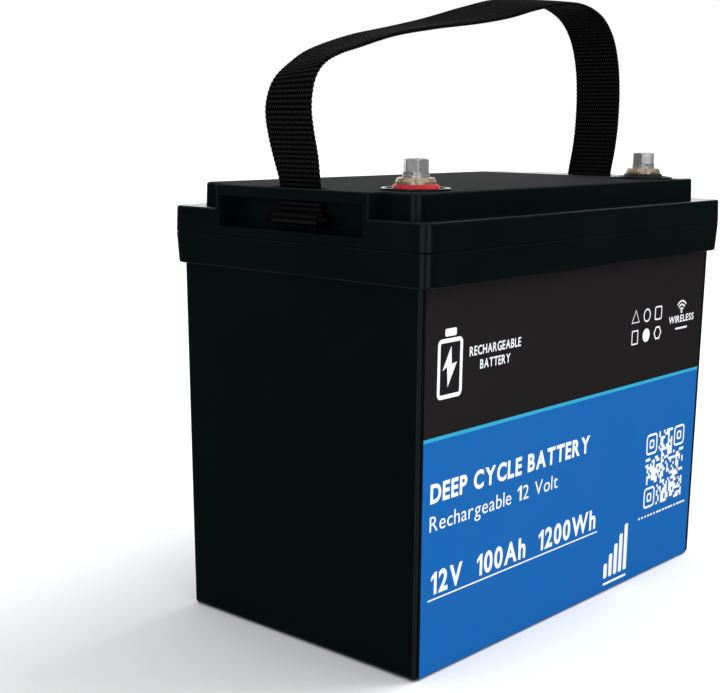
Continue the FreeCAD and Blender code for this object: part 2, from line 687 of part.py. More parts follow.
def make_board():
    save("top_tray", block(-103, 103, CELL_FRONT + 1, CELL_BACK - 1, CELL_TOP, TRAY_TOP))
    length, width, thick = SINK_SIZE
    sink = block(-length / 2, length / 2, -width / 2, width / 2, TRAY_TOP, SINK_TOP)
    for index in range(9):
        x = FIN_START + FIN_PITCH * index
        run = width / 2 + PAST
        groove = block(x - FIN_HALF, x + FIN_HALF, -run, run, TRAY_TOP, TRAY_TOP + 2)
        sink = sink.cut(groove)
    save("heat_sink", sink)
    half_length = length / 2 - BOARD_INSET
    half_width = width / 2 - BOARD_INSET
    board = block(-half_length, half_length, -half_width, half_width, BOARD_BOTTOM, BOARD_TOP)
    standoffs = []
    screws = []
    head_radius, head_height = BOARD_SCREW_HEAD
    for x in (-BOARD_HOLES[0], BOARD_HOLES[0]):
        for y in (-BOARD_HOLES[1], BOARD_HOLES[1]):
            board = board.cut(drum(BOARD_HOLE_RADIUS, BOARD_THICK + 2 * PAST, x, y, BOARD_BOTTOM - PAST))
            tube = drum(STANDOFF_RADIUS, STANDOFF_HEIGHT, x, y, SINK_TOP)
            standoffs.append(tube.cut(drum(BOARD_HOLE_RADIUS, STANDOFF_HEIGHT, x, y, SINK_TOP)))
            shank = drum(BOARD_SCREW_RADIUS, BOARD_SCREW_SHANK, x, y, BOARD_TOP - BOARD_SCREW_SHANK)
            screws.append(drum(head_radius, head_height, x, y, BOARD_TOP).fuse(shank))
    save("bms_board", board)
    save("board_standoffs", Part.makeCompound(standoffs))
    save("board_screws", Part.makeCompound(screws))
    mosfets = []
    for index in range(8):
        for y in MOSFET_ROWS:
            x = MOSFET_START + MOSFET_PITCH * index
            mosfets.append(block(x, x + MOSFET_SIZE[0], y, y + MOSFET_SIZE[1], SINK_TOP, BOARD_BOTTOM))
    save("mosfets", Part.makeCompound(mosfets))
    parts = []
    for y in (-POST_Y, POST_Y):
        parts.append(block(POST_X - 6, POST_X + 6, y - 6, y + 6, BOARD_TOP, BOARD_TOP + POST_HEIGHT))
    for index in range(5):
        x, y = RESISTOR_START
        y = y + RESISTOR_PITCH * index
        long_side, short_side, high = RESISTOR_SIZE
        parts.append(block(x, x + long_side, y, y + short_side, BOARD_TOP, BOARD_TOP + high))
    for x in CAPACITOR_PLACES:
        parts.append(drum(CAPACITOR_SIZE[0], CAPACITOR_SIZE[1], x, MOSFET_ROWS[0], BOARD_TOP))
    long_side, wide, high = CHIP_SIZE
    parts.append(block(CHIP_X, CHIP_X + long_side, -wide / 2, wide / 2, BOARD_TOP, BOARD_TOP + high))
    save("board_parts", Part.makeCompound(parts))
    long_side, wide, high = CONNECTOR_SIZE
    front = CONNECTOR_BACK - wide
    connector = block(-long_side / 2, long_side / 2, front, CONNECTOR_BACK, BOARD_TOP, BOARD_TOP + high)
    save("sense_connector", connector)
    x, y = RADIO_CORNER
    long_side, wide, high = RADIO_SIZE
    save("radio_module", block(x, x + long_side, y, y + wide, BOARD_TOP, BOARD_TOP + high))


def make_cables():
    high = LEVELS[1]
    middle = CONTACT + LUG_THICK / 2
    inner = LUG_REACH + 2.0
    lugs = [
        lug((cell_x(0), CONTACT, high), (0, 1, 0), (0, 0, 1), SCREW_HOLE),
        lug((cell_x(3), CONTACT, high), (0, 1, 0), (0, 0, 1), SCREW_HOLE),
        lug((POST_X, POST_Y, BOARD_TOP + POST_HEIGHT), (0, 0, 1), (1, 0, 0), SCREW_HOLE),
        lug((POST_X, -POST_Y, BOARD_TOP + POST_HEIGHT), (0, 0, 1), (-1, 0, 0), SCREW_HOLE),
        lug((-TERMINAL_X, TERMINAL_Y, TERMINAL_LUG), (0, 0, 1), (0, 1, 0), INSERT_SHANK + LUG_HOLE_GAP),
        lug((TERMINAL_X, TERMINAL_Y, TERMINAL_LUG), (0, 0, 1), (-1, 0, 0), INSERT_SHANK + LUG_HOLE_GAP),
    ]
    save("cable_lugs", Part.makeCompound(lugs))
    top = TERMINAL_LUG + LUG_THICK / 2
    red = (
        (cell_x(0), middle, high + inner),
        (cell_x(0), middle, high + 44.0),
        (-84.0, 32.0, 201.0),
        (-TERMINAL_X, 2.0, top),
        (-TERMINAL_X, TERMINAL_Y + inner, top),
    )
    save("positive_cable", cable(red, CABLE_RADIUS))
    pack = (
        (cell_x(3), middle, high + inner),
        (cell_x(3), middle, high + 34.0),
        (87.0, 42.0, LUG_LEVEL),
        (83.0, POST_Y, LUG_LEVEL),
        (POST_X + inner, POST_Y, LUG_LEVEL),
    )
    save("pack_negative_cable", cable(pack, CABLE_RADIUS))
    output = (
        (POST_X - inner, -POST_Y, LUG_LEVEL),
        (8.0, -POST_Y, LUG_LEVEL),
        (-8.0, -34.0, 192.0),
        (8.0, -48.0, 201.0),
        (36.0, TERMINAL_Y, top),
        (TERMINAL_X - inner, TERMINAL_Y, top),
    )
    save("output_negative_cable", cable(output, CABLE_RADIUS))


def make_sensing():
    face = CONTACT + BUSBAR_THICK
    low, high = LEVELS
    ends = ((cell_x(0) + 7.0, high), (-51.0, low), (0.0, high), (51.0, low), (cell_x(3) - 7.0, high))
    wires = []
    for index, (x, z) in enumerate(ends):
        start = -9.0 + 4.5 * index
        route = (
            (start, CONNECTOR_BACK, BOARD_TOP + 3.0),
            (start, CONNECTOR_BACK + 7.0, BOARD_TOP + 3.0),
            (start + (x - start) * 0.3, 52.0, BOARD_TOP + 4.0),
            (start + (x - start) * 0.7, WIRE_LINE - 1.0, BOARD_TOP - 6.0),
            (x, WIRE_LINE, BOARD_TOP - 22.0),
            (x, WIRE_LINE, z),
            (x, face, z),
        )
        wires.append(cable(route, SENSE_RADIUS))
    save("sense_harness", Part.makeCompound(wires))
    bead = drum(BEAD_RADIUS, BEAD_LENGTH, BEAD_X, CELL_BACK + BEAD_RADIUS, BEAD_Z)
    lead = cable(
        (
            (BEAD_X, CELL_BACK + BEAD_RADIUS, BEAD_Z + BEAD_LENGTH - PAST),
            (BEAD_X, CELL_BACK + 2.5, 150.0),
            (34.0, CELL_BACK + 3.0, 170.0),
            (28.0, 44.0, BOARD_TOP + 8.0),
            (20.0, 28.0, BOARD_TOP + 8.0),
            (20.0, 28.0, BOARD_TOP),
        ),
        SENSE_RADIUS,
    )
    save("temperature_probe", bead.fuse(lead))


os.makedirs("parts", exist_ok=True)
save("case", make_case())
save("lid", make_lid())
save("front_label", make_label())
make_strap()
make_terminals()
make_cells()
make_busbars()
make_board()
make_cables()
make_sensing()
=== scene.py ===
import json
import math
import random

import bmesh
import bpy
import numpy as np
from mathutils import Matrix, Vector


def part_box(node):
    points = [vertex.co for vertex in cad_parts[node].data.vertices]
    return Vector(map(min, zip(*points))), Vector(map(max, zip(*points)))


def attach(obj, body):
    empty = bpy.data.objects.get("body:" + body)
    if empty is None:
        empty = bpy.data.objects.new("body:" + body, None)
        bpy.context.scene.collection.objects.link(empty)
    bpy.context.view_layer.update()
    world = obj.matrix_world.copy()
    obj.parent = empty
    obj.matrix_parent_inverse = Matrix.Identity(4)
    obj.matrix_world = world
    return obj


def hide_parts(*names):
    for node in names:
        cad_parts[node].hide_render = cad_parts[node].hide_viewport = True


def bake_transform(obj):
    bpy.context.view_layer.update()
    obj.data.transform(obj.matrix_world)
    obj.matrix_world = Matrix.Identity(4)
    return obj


MM = 0.001
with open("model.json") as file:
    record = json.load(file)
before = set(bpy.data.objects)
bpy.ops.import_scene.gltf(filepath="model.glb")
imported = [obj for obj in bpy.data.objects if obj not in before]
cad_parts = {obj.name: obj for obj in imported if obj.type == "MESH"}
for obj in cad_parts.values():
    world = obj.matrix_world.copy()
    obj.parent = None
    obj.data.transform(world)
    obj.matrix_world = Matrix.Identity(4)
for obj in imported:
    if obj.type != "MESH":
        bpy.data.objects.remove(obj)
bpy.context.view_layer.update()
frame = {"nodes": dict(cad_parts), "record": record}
nodes = frame["nodes"]
slots = {part["node"]: part["material_slot"] for part in frame["record"]["subparts"]}
rng = random.Random(12)

# ---------------------------------------------------------------- camera
CAMERA_PLACE = (-0.55158, -0.42095, 0.24444)
CAMERA_YAW = math.radians(48.231)
CAMERA_PITCH = math.radians(9.683)
CAMERA_ROLL = math.radians(0.475)
CAMERA_LENS = 66.23
SENSOR_WIDTH = 36.0
CLIP_START = 0.01


def make_camera():
    level = math.cos(CAMERA_PITCH)
    ahead = Vector((math.sin(CAMERA_YAW) * level, math.cos(CAMERA_YAW) * level, -math.sin(CAMERA_PITCH)))
    flat_right = Vector((math.cos(CAMERA_YAW), -math.sin(CAMERA_YAW), 0))
    flat_up = flat_right.cross(ahead)
    right = math.cos(CAMERA_ROLL) * flat_right + math.sin(CAMERA_ROLL) * flat_up
    up = math.cos(CAMERA_ROLL) * flat_up - math.sin(CAMERA_ROLL) * flat_right
    data = bpy.data.cameras.new("camera")
    data.lens = CAMERA_LENS
    data.sensor_width = SENSOR_WIDTH
    data.clip_start = CLIP_START
    camera = bpy.data.objects.new("camera", data)
    turn = Matrix((right, up, -ahead)).transposed().to_4x4()
    camera.matrix_world = Matrix.Translation(CAMERA_PLACE) @ turn
    bpy.context.scene.collection.objects.link(camera)
    bpy.context.scene.camera = camera


# ---------------------------------------------------------------- materials
class Graph:
    """Short calls for building a shader node tree."""

    def __init__(self, tree):
        self.tree = tree

    def add(self, kind, settings=None, **sockets):
        made = self.tree.nodes.new("ShaderNode" + kind)
        for key, value in (settings or {}).items():
            setattr(made, key, value)
        for key, value in sockets.items():
            self.put(made.inputs[key.replace("_", " ")], value)
        return made

    def put(self, socket, value):
        if isinstance(value, bpy.types.NodeSocket):
            self.tree.links.new(value, socket)
        else:
            socket.default_value = value

    def math(self, operation, first, second=0.0):
        made = self.tree.nodes.new("ShaderNodeMath")
        made.operation = operation
        self.put(made.inputs[0], first)
        self.put(made.inputs[1], second)
        return made.outputs[0]

    def remap(self, value, low, high, from_low=0.3, from_high=0.7):
        made = self.add("MapRange", Value=value)
        for index, number in enumerate((from_low, from_high, low, high), 1):
            made.inputs[index].default_value = number
        return made.outputs[0]

    def mix(self, factor, first, second):
        made = self.add("Mix", {"data_type": "RGBA"})
        self.put(made.inputs[0], factor)
        for socket, colour in ((made.inputs[6], first), (made.inputs[7], second)):
            self.put(socket, colour if isinstance(colour, bpy.types.NodeSocket) else (*colour, 1))
        return made.outputs[2]


class Finish(Graph):
    """One Principled material, with procedural detail in object space."""

    def __init__(self, name, colour, rough, **constants):
        self.material = bpy.data.materials.new(name)
        self.material.use_nodes = True
        super().__init__(self.material.node_tree)
        self.shader = self.tree.nodes["Principled BSDF"]
        self.shader.inputs["Base Color"].default_value = (*colour, 1)
        self.shader.inputs["Roughness"].default_value = rough
        for socket, value in constants.items():
            self.shader.inputs[socket.replace("_", " ")].default_value = value
        self.place = self.add("TexCoord").outputs["Object"]
        self.heights = []

    def axes(self, vector=None):
        return self.add("SeparateXYZ", Vector=vector or self.place).outputs

    def noise(self, scale, detail=3.0, rough=0.55):
        made = self.add("TexNoise", Vector=self.place, Scale=scale, Detail=detail, Roughness=rough)
        return made.outputs["Fac"]

    def colour(self, source):
        self.put(self.shader.inputs["Base Color"], source)

    def rough(self, source):
        self.put(self.shader.inputs["Roughness"], source)

    def bump(self, height, depth, strength=1.0):
        """Adds a layer of relief, depth metres deep."""
        made = self.add("Bump", Height=height, Distance=depth, Strength=strength)
        if self.heights:
            self.tree.links.new(self.heights[-1], made.inputs["Normal"])
        self.heights.append(made.outputs[0])
        self.put(self.shader.inputs["Normal"], made.outputs[0])


LID_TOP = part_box("lid")[1].z
SHELL_DARK = (0.0004, 0.0026, 0.0024)
SHELL_LIGHT = (0.0016, 0.0056, 0.0054)
SHELL_GLOSS = 0.17
SHELL_DULL = 0.3
MATTE_END = 0.1035
MATTE_SKIN = 0.0002
MATTE_BLACK = (0.009, 0.0088, 0.009)


def moulded(name):
    """Glossy black ABS: faint sink marks, a fine skin and a few dull handling marks."""
    made = Finish(name, SHELL_DARK, SHELL_GLOSS, Specular_IOR_Level=0.28)
    made.colour(made.mix(made.noise(22.0), SHELL_DARK, SHELL_LIGHT))
    marks = made.remap(made.noise(60.0, 6.0, 0.7), SHELL_GLOSS, SHELL_DULL, 0.45, 0.75)
    made.rough(marks)
    made.bump(made.noise(16.0, 1.0), 0.00012)
    made.bump(made.noise(1500.0, 2.0), 0.000012)
    return made, marks


def lid_finish():
    """The lid is gloss too, but its top face is matt up to the slot beside the negative terminal."""
    made, marks = moulded("lid_black")
    x, _, z = made.axes()
    panel = made.math("GREATER_THAN", z, LID_TOP - MATTE_SKIN)
    panel = made.math("MULTIPLY", panel, made.math("LESS_THAN", x, MATTE_END))
    matte = made.remap(made.noise(500.0, 3.0), 0.82, 0.92)
    made.rough(made.add("Mix", Factor=panel, A=marks, B=matte).outputs[0])
    grain = made.math("MULTIPLY", made.noise(2600.0, 2.0), panel)
    made.bump(grain, 0.00003)
    shell = made.mix(made.noise(22.0), SHELL_DARK, SHELL_LIGHT)
    made.colour(made.mix(panel, shell, MATTE_BLACK))
    return made.material


LABEL_BLACK = (0.0130, 0.0104, 0.0112)
LABEL_CYAN = (0.022, 0.36, 0.56)
LABEL_BLUE = (0.0006, 0.116, 0.405)
STRIPE_LOW = 0.1082
STRIPE_HIGH = 0.1099


def label_finish():
    """Printed film: three bands of ink with a fine screen and a little orange peel."""
    made = Finish("label_film", LABEL_BLUE, 0.34, Specular_IOR_Level=0.15)
    z = made.axes()[2]
    upper = made.mix(made.math("GREATER_THAN", z, STRIPE_HIGH), LABEL_CYAN, LABEL_BLACK)
    bands = made.mix(made.math("GREATER_THAN", z, STRIPE_LOW), LABEL_BLUE, upper)
    screen = made.remap(made.noise(1800.0, 2.0), 0.0, 0.008)
    made.colour(made.mix(screen, bands, (0.5, 0.5, 0.5)))
    made.rough(made.remap(made.noise(45.0, 4.0), 0.3, 0.4))
    made.bump(made.noise(260.0, 2.0), 0.00001)
    return made.material


def ink_finish():
    made = Finish("white_ink", (0.86, 0.88, 0.90), 0.45)
    made.colour(made.mix(made.noise(900.0), (0.82, 0.85, 0.88), (0.93, 0.94, 0.95)))
    made.bump(made.noise(2200.0, 2.0), 0.000006)
    return made.material


def webbing_finish():
    """Woven polypropylene: ribs across the band, yarn crowns along each rib, fibre streaks. The colour has a
    painted highlight on the rib crowns and painted shade in the valleys between them.
    """
    made = Finish("webbing_black", (0.004, 0.004, 0.0044), 0.6, Specular_IOR_Level=0.06)
    weave = made.add("UVMap", {"uv_map": "weave"}).outputs[0]
    along, across, _ = made.axes(weave)
    rib = made.math("ABSOLUTE", made.math("SINE", made.math("MULTIPLY", along, math.pi)))
    shift = made.math("MULTIPLY", made.math("FLOOR", along), 0.5)
    turn = made.math("MULTIPLY", made.math("ADD", across, shift), math.pi)
    yarn = made.math("ABSOLUTE", made.math("SINE", turn))
    crown = made.math("MULTIPLY", made.math("POWER", rib, 0.8), made.math("POWER", yarn, 0.6))
    fibre = made.add("TexNoise", Vector=weave, Scale=9.0, Detail=4.0).outputs["Fac"]
    # Crown colour: fibre streaks in tone, lightened as a painted highlight on the rib crowns.
    fibre_tone_and_crown_highlight = made.mix(made.remap(fibre, 0.0, 1.0), (0.002, 0.002, 0.0022), (0.036, 0.036, 0.038))
    # Painted shade: the valleys between crowns are near black, and only the crowns take the painted highlight
    # colour.
    made.colour(made.mix(made.math("POWER", crown, 3.5), (0.0003, 0.0003, 0.0003), fibre_tone_and_crown_highlight))
    made.rough(made.remap(crown, 0.95, 0.7, 0.25, 0.9))
    made.bump(crown, 0.00040)
    made.bump(fibre, 0.00006)
    return made.material


LATHE_WAVES = 30000.0


def metal_finish(name, colour, dark, rough, around=None, shine=1.0):
    """Metal. around is the (x, y) of a vertical turning axis, for lathe marks. A plated skin
    that scatters light has a shine under one."""
    made = Finish(name, colour, rough, Metallic=shine)
    made.colour(made.mix(made.remap(made.noise(180.0, 5.0, 0.7), 0.0, 0.7), colour, dark))
    made.rough(made.remap(made.noise(420.0, 4.0), rough * 0.75, rough * 1.35))
    if around:
        x, y, _ = made.axes()
        radius = made.math(
            "SQRT",
            made.math(
                "ADD",
                made.math("POWER", made.math("SUBTRACT", x, around[0]), 2.0),
                made.math("POWER", made.math("SUBTRACT", y, around[1]), 2.0),
            ),
        )
        made.bump(made.math("SINE", made.math("MULTIPLY", radius, LATHE_WAVES)), 0.000004)
    made.bump(made.noise(900.0, 3.0), 0.00001)
    return made.material


def plastic_finish(name, colour, shade, rough):
    made = Finish(name, colour, rough)
    made.colour(made.mix(made.noise(120.0), colour, shade))
    made.rough(made.remap(made.noise(300.0, 4.0), rough * 0.8, rough * 1.3))
    made.bump(made.noise(1200.0, 2.0), 0.000015)
    return made.material


def woven_finish(name, colour, shade, rough, pitch, depth):
    """A fine square weave or grid, for glass-fibre sheet, braid and board."""
    made = Finish(name, colour, rough)
    x, y, z = made.axes()
    waves = [made.math("SINE", made.math("MULTIPLY", axis, 2 * math.pi / pitch)) for axis in (x, y, z)]
    level = made.math("MULTIPLY", waves[0], waves[1])
    upright = made.math("MULTIPLY", waves[1], waves[2])
    cloth = made.math("ADD", level, upright)
    made.colour(made.mix(made.remap(cloth, 0.0, 1.0, -1.0, 1.0), colour, shade))
    made.bump(cloth, depth)
    made.bump(made.noise(700.0), 0.00002)
    return made.material


def foam_finish():
    made = Finish("foam_grey", (0.045, 0.045, 0.047), 0.95)
    cells = made.add("TexVoronoi", Vector=made.place, Scale=900.0).outputs["Distance"]
    made.colour(made.mix(cells, (0.02, 0.02, 0.021), (0.07, 0.07, 0.072)))
    made.bump(cells, 0.0003)
    return made.material


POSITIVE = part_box("positive_terminal_insert")
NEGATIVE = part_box("negative_terminal_insert")


def middle(box):
    return ((box[0].x + box[1].x) / 2, (box[0].y + box[1].y) / 2)


def dress_cad():
    """Gives every CAD node a material by its slot. The lid and the turned pieces have their own."""
    steel = metal_finish("stainless", (0.90, 0.89, 0.89), (0.66, 0.65, 0.65), 0.30, shine=0.79)
    strip = metal_finish("steel_strip", (0.6, 0.61, 0.62), (0.4, 0.4, 0.41), 0.38)
    aluminium = metal_finish("mill_aluminium", (0.72, 0.73, 0.74), (0.55, 0.56, 0.57), 0.42)
    copper = metal_finish("plated_copper", (0.78, 0.42, 0.28), (0.5, 0.26, 0.18), 0.32)
    brass = metal_finish("turned_brass", (0.80, 0.62, 0.36), (0.6, 0.44, 0.22), 0.28)
    tin = metal_finish("tinned_copper", (0.7, 0.7, 0.69), (0.5, 0.5, 0.5), 0.35)
    chip = plastic_finish("chip_black", (0.02, 0.02, 0.021), (0.035, 0.035, 0.036), 0.6)
    looks = {
        "black_shell": moulded("case_black")[0].material,
        "label_sheet": label_finish(),
        "pin_steel": metal_finish("black_steel", (0.03, 0.03, 0.032), (0.015, 0.015, 0.016), 0.45),
        "collar_plastic": plastic_finish("collar_black", (0.003, 0.005, 0.005), (0.005, 0.008, 0.008), 0.12),
        "red_plastic": plastic_finish("ring_red", (0.62, 0.012, 0.028), (0.5, 0.008, 0.02), 0.3),
        "black_plastic": plastic_finish("ring_black", (0.006, 0.006, 0.006), (0.012, 0.012, 0.012), 0.35),
        "terminal_brass": brass,
        "bolt_steel": steel,
        "washer_steel": steel,
        "cell_can": plastic_finish("cell_film", (0.02, 0.14, 0.42), (0.03, 0.18, 0.5), 0.35),
        "insulation_sheet": woven_finish(
            "glass_epoxy", (0.32, 0.42, 0.2), (0.24, 0.34, 0.15), 0.55, 0.0012, 0.00003
        ),
        "plate_aluminium": aluminium,
        "band_steel": strip,
        "foam": foam_finish(),
        "copper": copper,
        "circuit_board": woven_finish(
            "solder_mask", (0.01, 0.15, 0.05), (0.015, 0.22, 0.08), 0.35, 0.0025, 0.00004
        ),
        "component_black": chip,
        "connector_white": plastic_finish("nylon_white", (0.8, 0.8, 0.76), (0.72, 0.71, 0.66), 0.5),
        "cable_red": plastic_finish("silicone_red", (0.45, 0.01, 0.012), (0.36, 0.008, 0.01), 0.6),
        "cable_black": plastic_finish("silicone_black", (0.015, 0.015, 0.015), (0.025, 0.025, 0.025), 0.6),
        "tinned_lug": tin,
        "sense_wire": plastic_finish("silicone_white", (0.78, 0.78, 0.74), (0.7, 0.69, 0.64), 0.6),
        "webbing": webbing_finish(),
    }
    chosen = {name: looks[slots[name]] for name in nodes}
    chosen["lid"] = lid_finish()
    for name, box in (("positive", POSITIVE), ("negative", NEGATIVE)):
        centre = middle(box)
        chosen[name + "_terminal_insert"] = metal_finish(
            name + "_brass", (0.92, 0.80, 0.58), (0.80, 0.62, 0.38), 0.30, centre, 0.85
        )
        chosen[name + "_flat_washer"] = metal_finish(
            name + "_washer", (0.94, 0.93, 0.92), (0.82, 0.81, 0.80), 0.28, centre, 0.8
        )
    for name, material in chosen.items():
        data = nodes[name].data
        data.materials.clear()
        data.materials.append(material)
    return looks


# ---------------------------------------------------------------- mesh helpers
def piece(name, points, faces, material, body, smooth=True):
    data = bpy.data.meshes.new(name)
    data.from_pydata([tuple(point) for point in points], [], faces)
    data.materials.append(material)
    data.update()
    if smooth:
        data.shade_smooth()
    made = bpy.data.objects.new(name, data)
    bpy.context.scene.collection.objects.link(made)
    if body:
        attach(made, body)
    return made


def ring_faces(rings, around, first=0):
    """Quads between rings of the same count."""
    faces = []
    for ring in range(rings - 1):
        low = first + ring * around
        for step in range(around):
            after = (step + 1) % around
            faces.append((low + step, low + after, low + around + after, low + around + step))
    return faces


# ---------------------------------------------------------------- strap
STRAP_HALF = 14.5
STRAP_THICK_LOW = 0.58
STRAP_RIB = 0.42
RIB_PITCH = 2.2
RIB_STEPS = 5
YARN_PITCH = 1.4
PIN_X = 123.3
PIN_Z = 200.0
HEM_RADIUS = 2.75
HEM_ANGLES = (120, 160, 205, 250, 295, 340, 20)
STRAP_LINE = (
    (-121.4, 203.0),
    (-121.5, 214.5),
    (-124.4, 227.0),
    (-127.7, 239.0),
    (-129.05, 248.5),
    (-127.3, 256.5),
    (-123.0, 263.2),
    (-114.0, 269.6),
    (-101.0, 276.2),
    (-75.0, 283.6),
    (-45.0, 289.0),
    (-15.0, 294.0),
    (15.0, 299.9),
    (42.0, 305.6),
    (68.0, 308.4),
    (88.0, 307.6),
    (105.0, 302.4),
    (116.5, 292.6),
    (123.2, 278.4),
    (125.9, 262.0),
    (125.7, 244.0),
    (123.6, 228.0),
    (121.5, 214.5),
    (121.4, 203.0),
)
CURVE_STEPS = 24
FLAT_STEPS = 20
EDGE_ANGLES = (math.pi / 4, 0, -math.pi / 4)
RIB_SQUARENESS = 0.7
RIB_EDGE = 0.25
CUP_HEIGHT = 0.5
CUP_WAVE = 37.0
FOOT_Z = 214.0
FOOT_REACH = 12.0
FOOT_PINCH_LEFT = 1.8
FOOT_PINCH_RIGHT = 0.0
RIGHT_FOOT_SHIFT = 1.2
SPAN_ROLL = math.radians(13)
SPAN_ROLL_AT = -12.0
SPAN_ROLL_REACH = 50.0
LEFT_TWIST = math.radians(7.3)
LEFT_TWIST_AT = 83.0
LEFT_TWIST_REACH = 15.0


def hem(side):
    """The band's end goes once round its pin. Points run from the free end."""
    points = []
    for angle in HEM_ANGLES:
        turn = math.radians(angle)
        reach = PIN_X - HEM_RADIUS * math.cos(turn)
        points.append((side * reach, PIN_Z + HEM_RADIUS * math.sin(turn)))
    return points


def smooth_line(points, spacing):
    """A Catmull-Rom curve through points, then points along it at even spacing."""
    fixed = [np.array(point, float) for point in points]
    fixed = [2 * fixed[0] - fixed[1]] + fixed + [2 * fixed[-1] - fixed[-2]]
    fine = []
    for a, b, c, d in zip(fixed, fixed[1:], fixed[2:], fixed[3:]):
        for t in np.linspace(0, 1, CURVE_STEPS, endpoint=False):
            square = (2 * a - 5 * b + 4 * c - d) * t * t
            cube = (3 * b - a - 3 * c + d) * t**3
            fine.append(0.5 * (2 * b + (c - a) * t + square + cube))
    fine.append(fixed[-2])
    fine = np.array(fine)
    run = np.concatenate([[0], np.cumsum(np.linalg.norm(np.diff(fine, axis=0), axis=1))])
    even = np.linspace(0, run[-1], int(run[-1] / spacing) + 1)
    return np.stack([np.interp(even, run, fine[:, axis]) for axis in (0, 1)], 1), even


def bell(value, peak, reach):
    """One at the peak, falling smoothly to nothing over a few reaches."""
    return math.exp(-(((value - peak) / reach) ** 2))


def make_strap(material):
    """One ribbed band from hem to hem. The arch rolls and twists, and the ends sit in their pockets."""
    route = hem(-1) + list(STRAP_LINE) + hem(1)[::-1]
    line, run = smooth_line(route, RIB_PITCH / RIB_STEPS)
    tangent = np.gradient(line, axis=0)
    tangent /= np.linalg.norm(tangent, axis=1)[:, None]
    length_to_middle = run[-1] / 2
    points, weave = [], []
    for (x, z), (tx, tz), s in zip(line, tangent, run):
        rib = abs(math.sin(math.pi * s / RIB_PITCH)) ** RIB_SQUARENESS
        thick = STRAP_THICK_LOW + STRAP_RIB * rib
        half = STRAP_HALF - RIB_EDGE * (1 - rib)
        foot = bell(z, FOOT_Z, FOOT_REACH)
        half -= foot * (FOOT_PINCH_LEFT if x < 0 else FOOT_PINCH_RIGHT)
        along = length_to_middle - s
        twist = LEFT_TWIST * bell(s, LEFT_TWIST_AT, LEFT_TWIST_REACH)
        roll = SPAN_ROLL * bell(along, SPAN_ROLL_AT, SPAN_ROLL_REACH) - twist
        cup = CUP_HEIGHT * math.sin(x / CUP_WAVE) * (1 - foot)
        normal = Vector((-tz, 0, tx))
        across = Vector((0, math.cos(roll), 0)) + normal * math.sin(roll)
        out = normal * math.cos(roll) - Vector((0, math.sin(roll), 0))
        shift = RIGHT_FOOT_SHIFT * foot if x > 0 else 0.0
        centre = Vector((x, shift, z)) + normal * STRAP_HALF * math.sin(twist)
        loop = []
        for step in range(FLAT_STEPS + 1):
            w = (2 * step / FLAT_STEPS - 1) * (half - thick)
            loop.append((w, thick))
        edge = [(half - thick * (1 - math.cos(a)), thick * math.sin(a)) for a in EDGE_ANGLES]
        loop += edge
        loop += [(w, -thick) for w, _ in loop[FLAT_STEPS::-1]]
        loop += [(-w, height) for w, height in edge[::-1]]
        for w, height in loop:
            bow = cup * (1 - (w / STRAP_HALF) ** 2)
            points.append((centre + across * w + out * (height + bow)) * MM)
            weave.append((s / RIB_PITCH, w / YARN_PITCH))
    around = len(loop)
    faces = ring_faces(len(run), around)
    faces.append(tuple(range(around))[::-1])
    faces.append(tuple(range(len(points) - around, len(points))))
    strap = piece("webbing_strap", points, faces, material, None)
    layer = strap.data.uv_layers.new(name="weave")
    for corner in strap.data.loops:
        layer.data[corner.index].uv = weave[corner.vertex_index]
    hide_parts("carry_strap", "strap_tail_left", "strap_tail_right")
    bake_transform(strap)


# ---------------------------------------------------------------- bolts
THREAD_PITCH = 1.0
THREAD_ROOT = 2.45
THREAD_CREST = 2.95
BOLT_LENGTH = 16.0
HEAD_ACROSS = 10.4
HEAD_HEIGHT = 5.9
HEAD_DISH = 0.7
HEAD_CROWN = 1.7
HEAD_FOOT = 0.7
HEAD_LIP = ((3.6, 0.0), (3.25, 0.2), (2.6, HEAD_DISH), (0.9, HEAD_DISH))
CORNER_BREAK = 0.12
FOOT_STEPS = 5
CROWN_STEPS = 10
THREAD_STEPS = 8
THREAD_FLANK = 2.6
THREAD_RUNOUT = 1.2
TIP_LENGTH = 0.8
TIP_BREAK = 0.45
AROUND = 96


def quarter(steps):
    """Angles through a quarter turn."""
    return [math.pi / 2 * step / (steps - 1) for step in range(steps)]


def hex_radius(angle):
    """Distance from the axis to a flat of the hexagon, with its corners just broken."""
    sixth = math.pi / 3
    offset = (angle + sixth / 2) % sixth - sixth / 2
    return min(HEAD_ACROSS / 2 / math.cos(offset), HEAD_ACROSS / math.sqrt(3) - CORNER_BREAK)


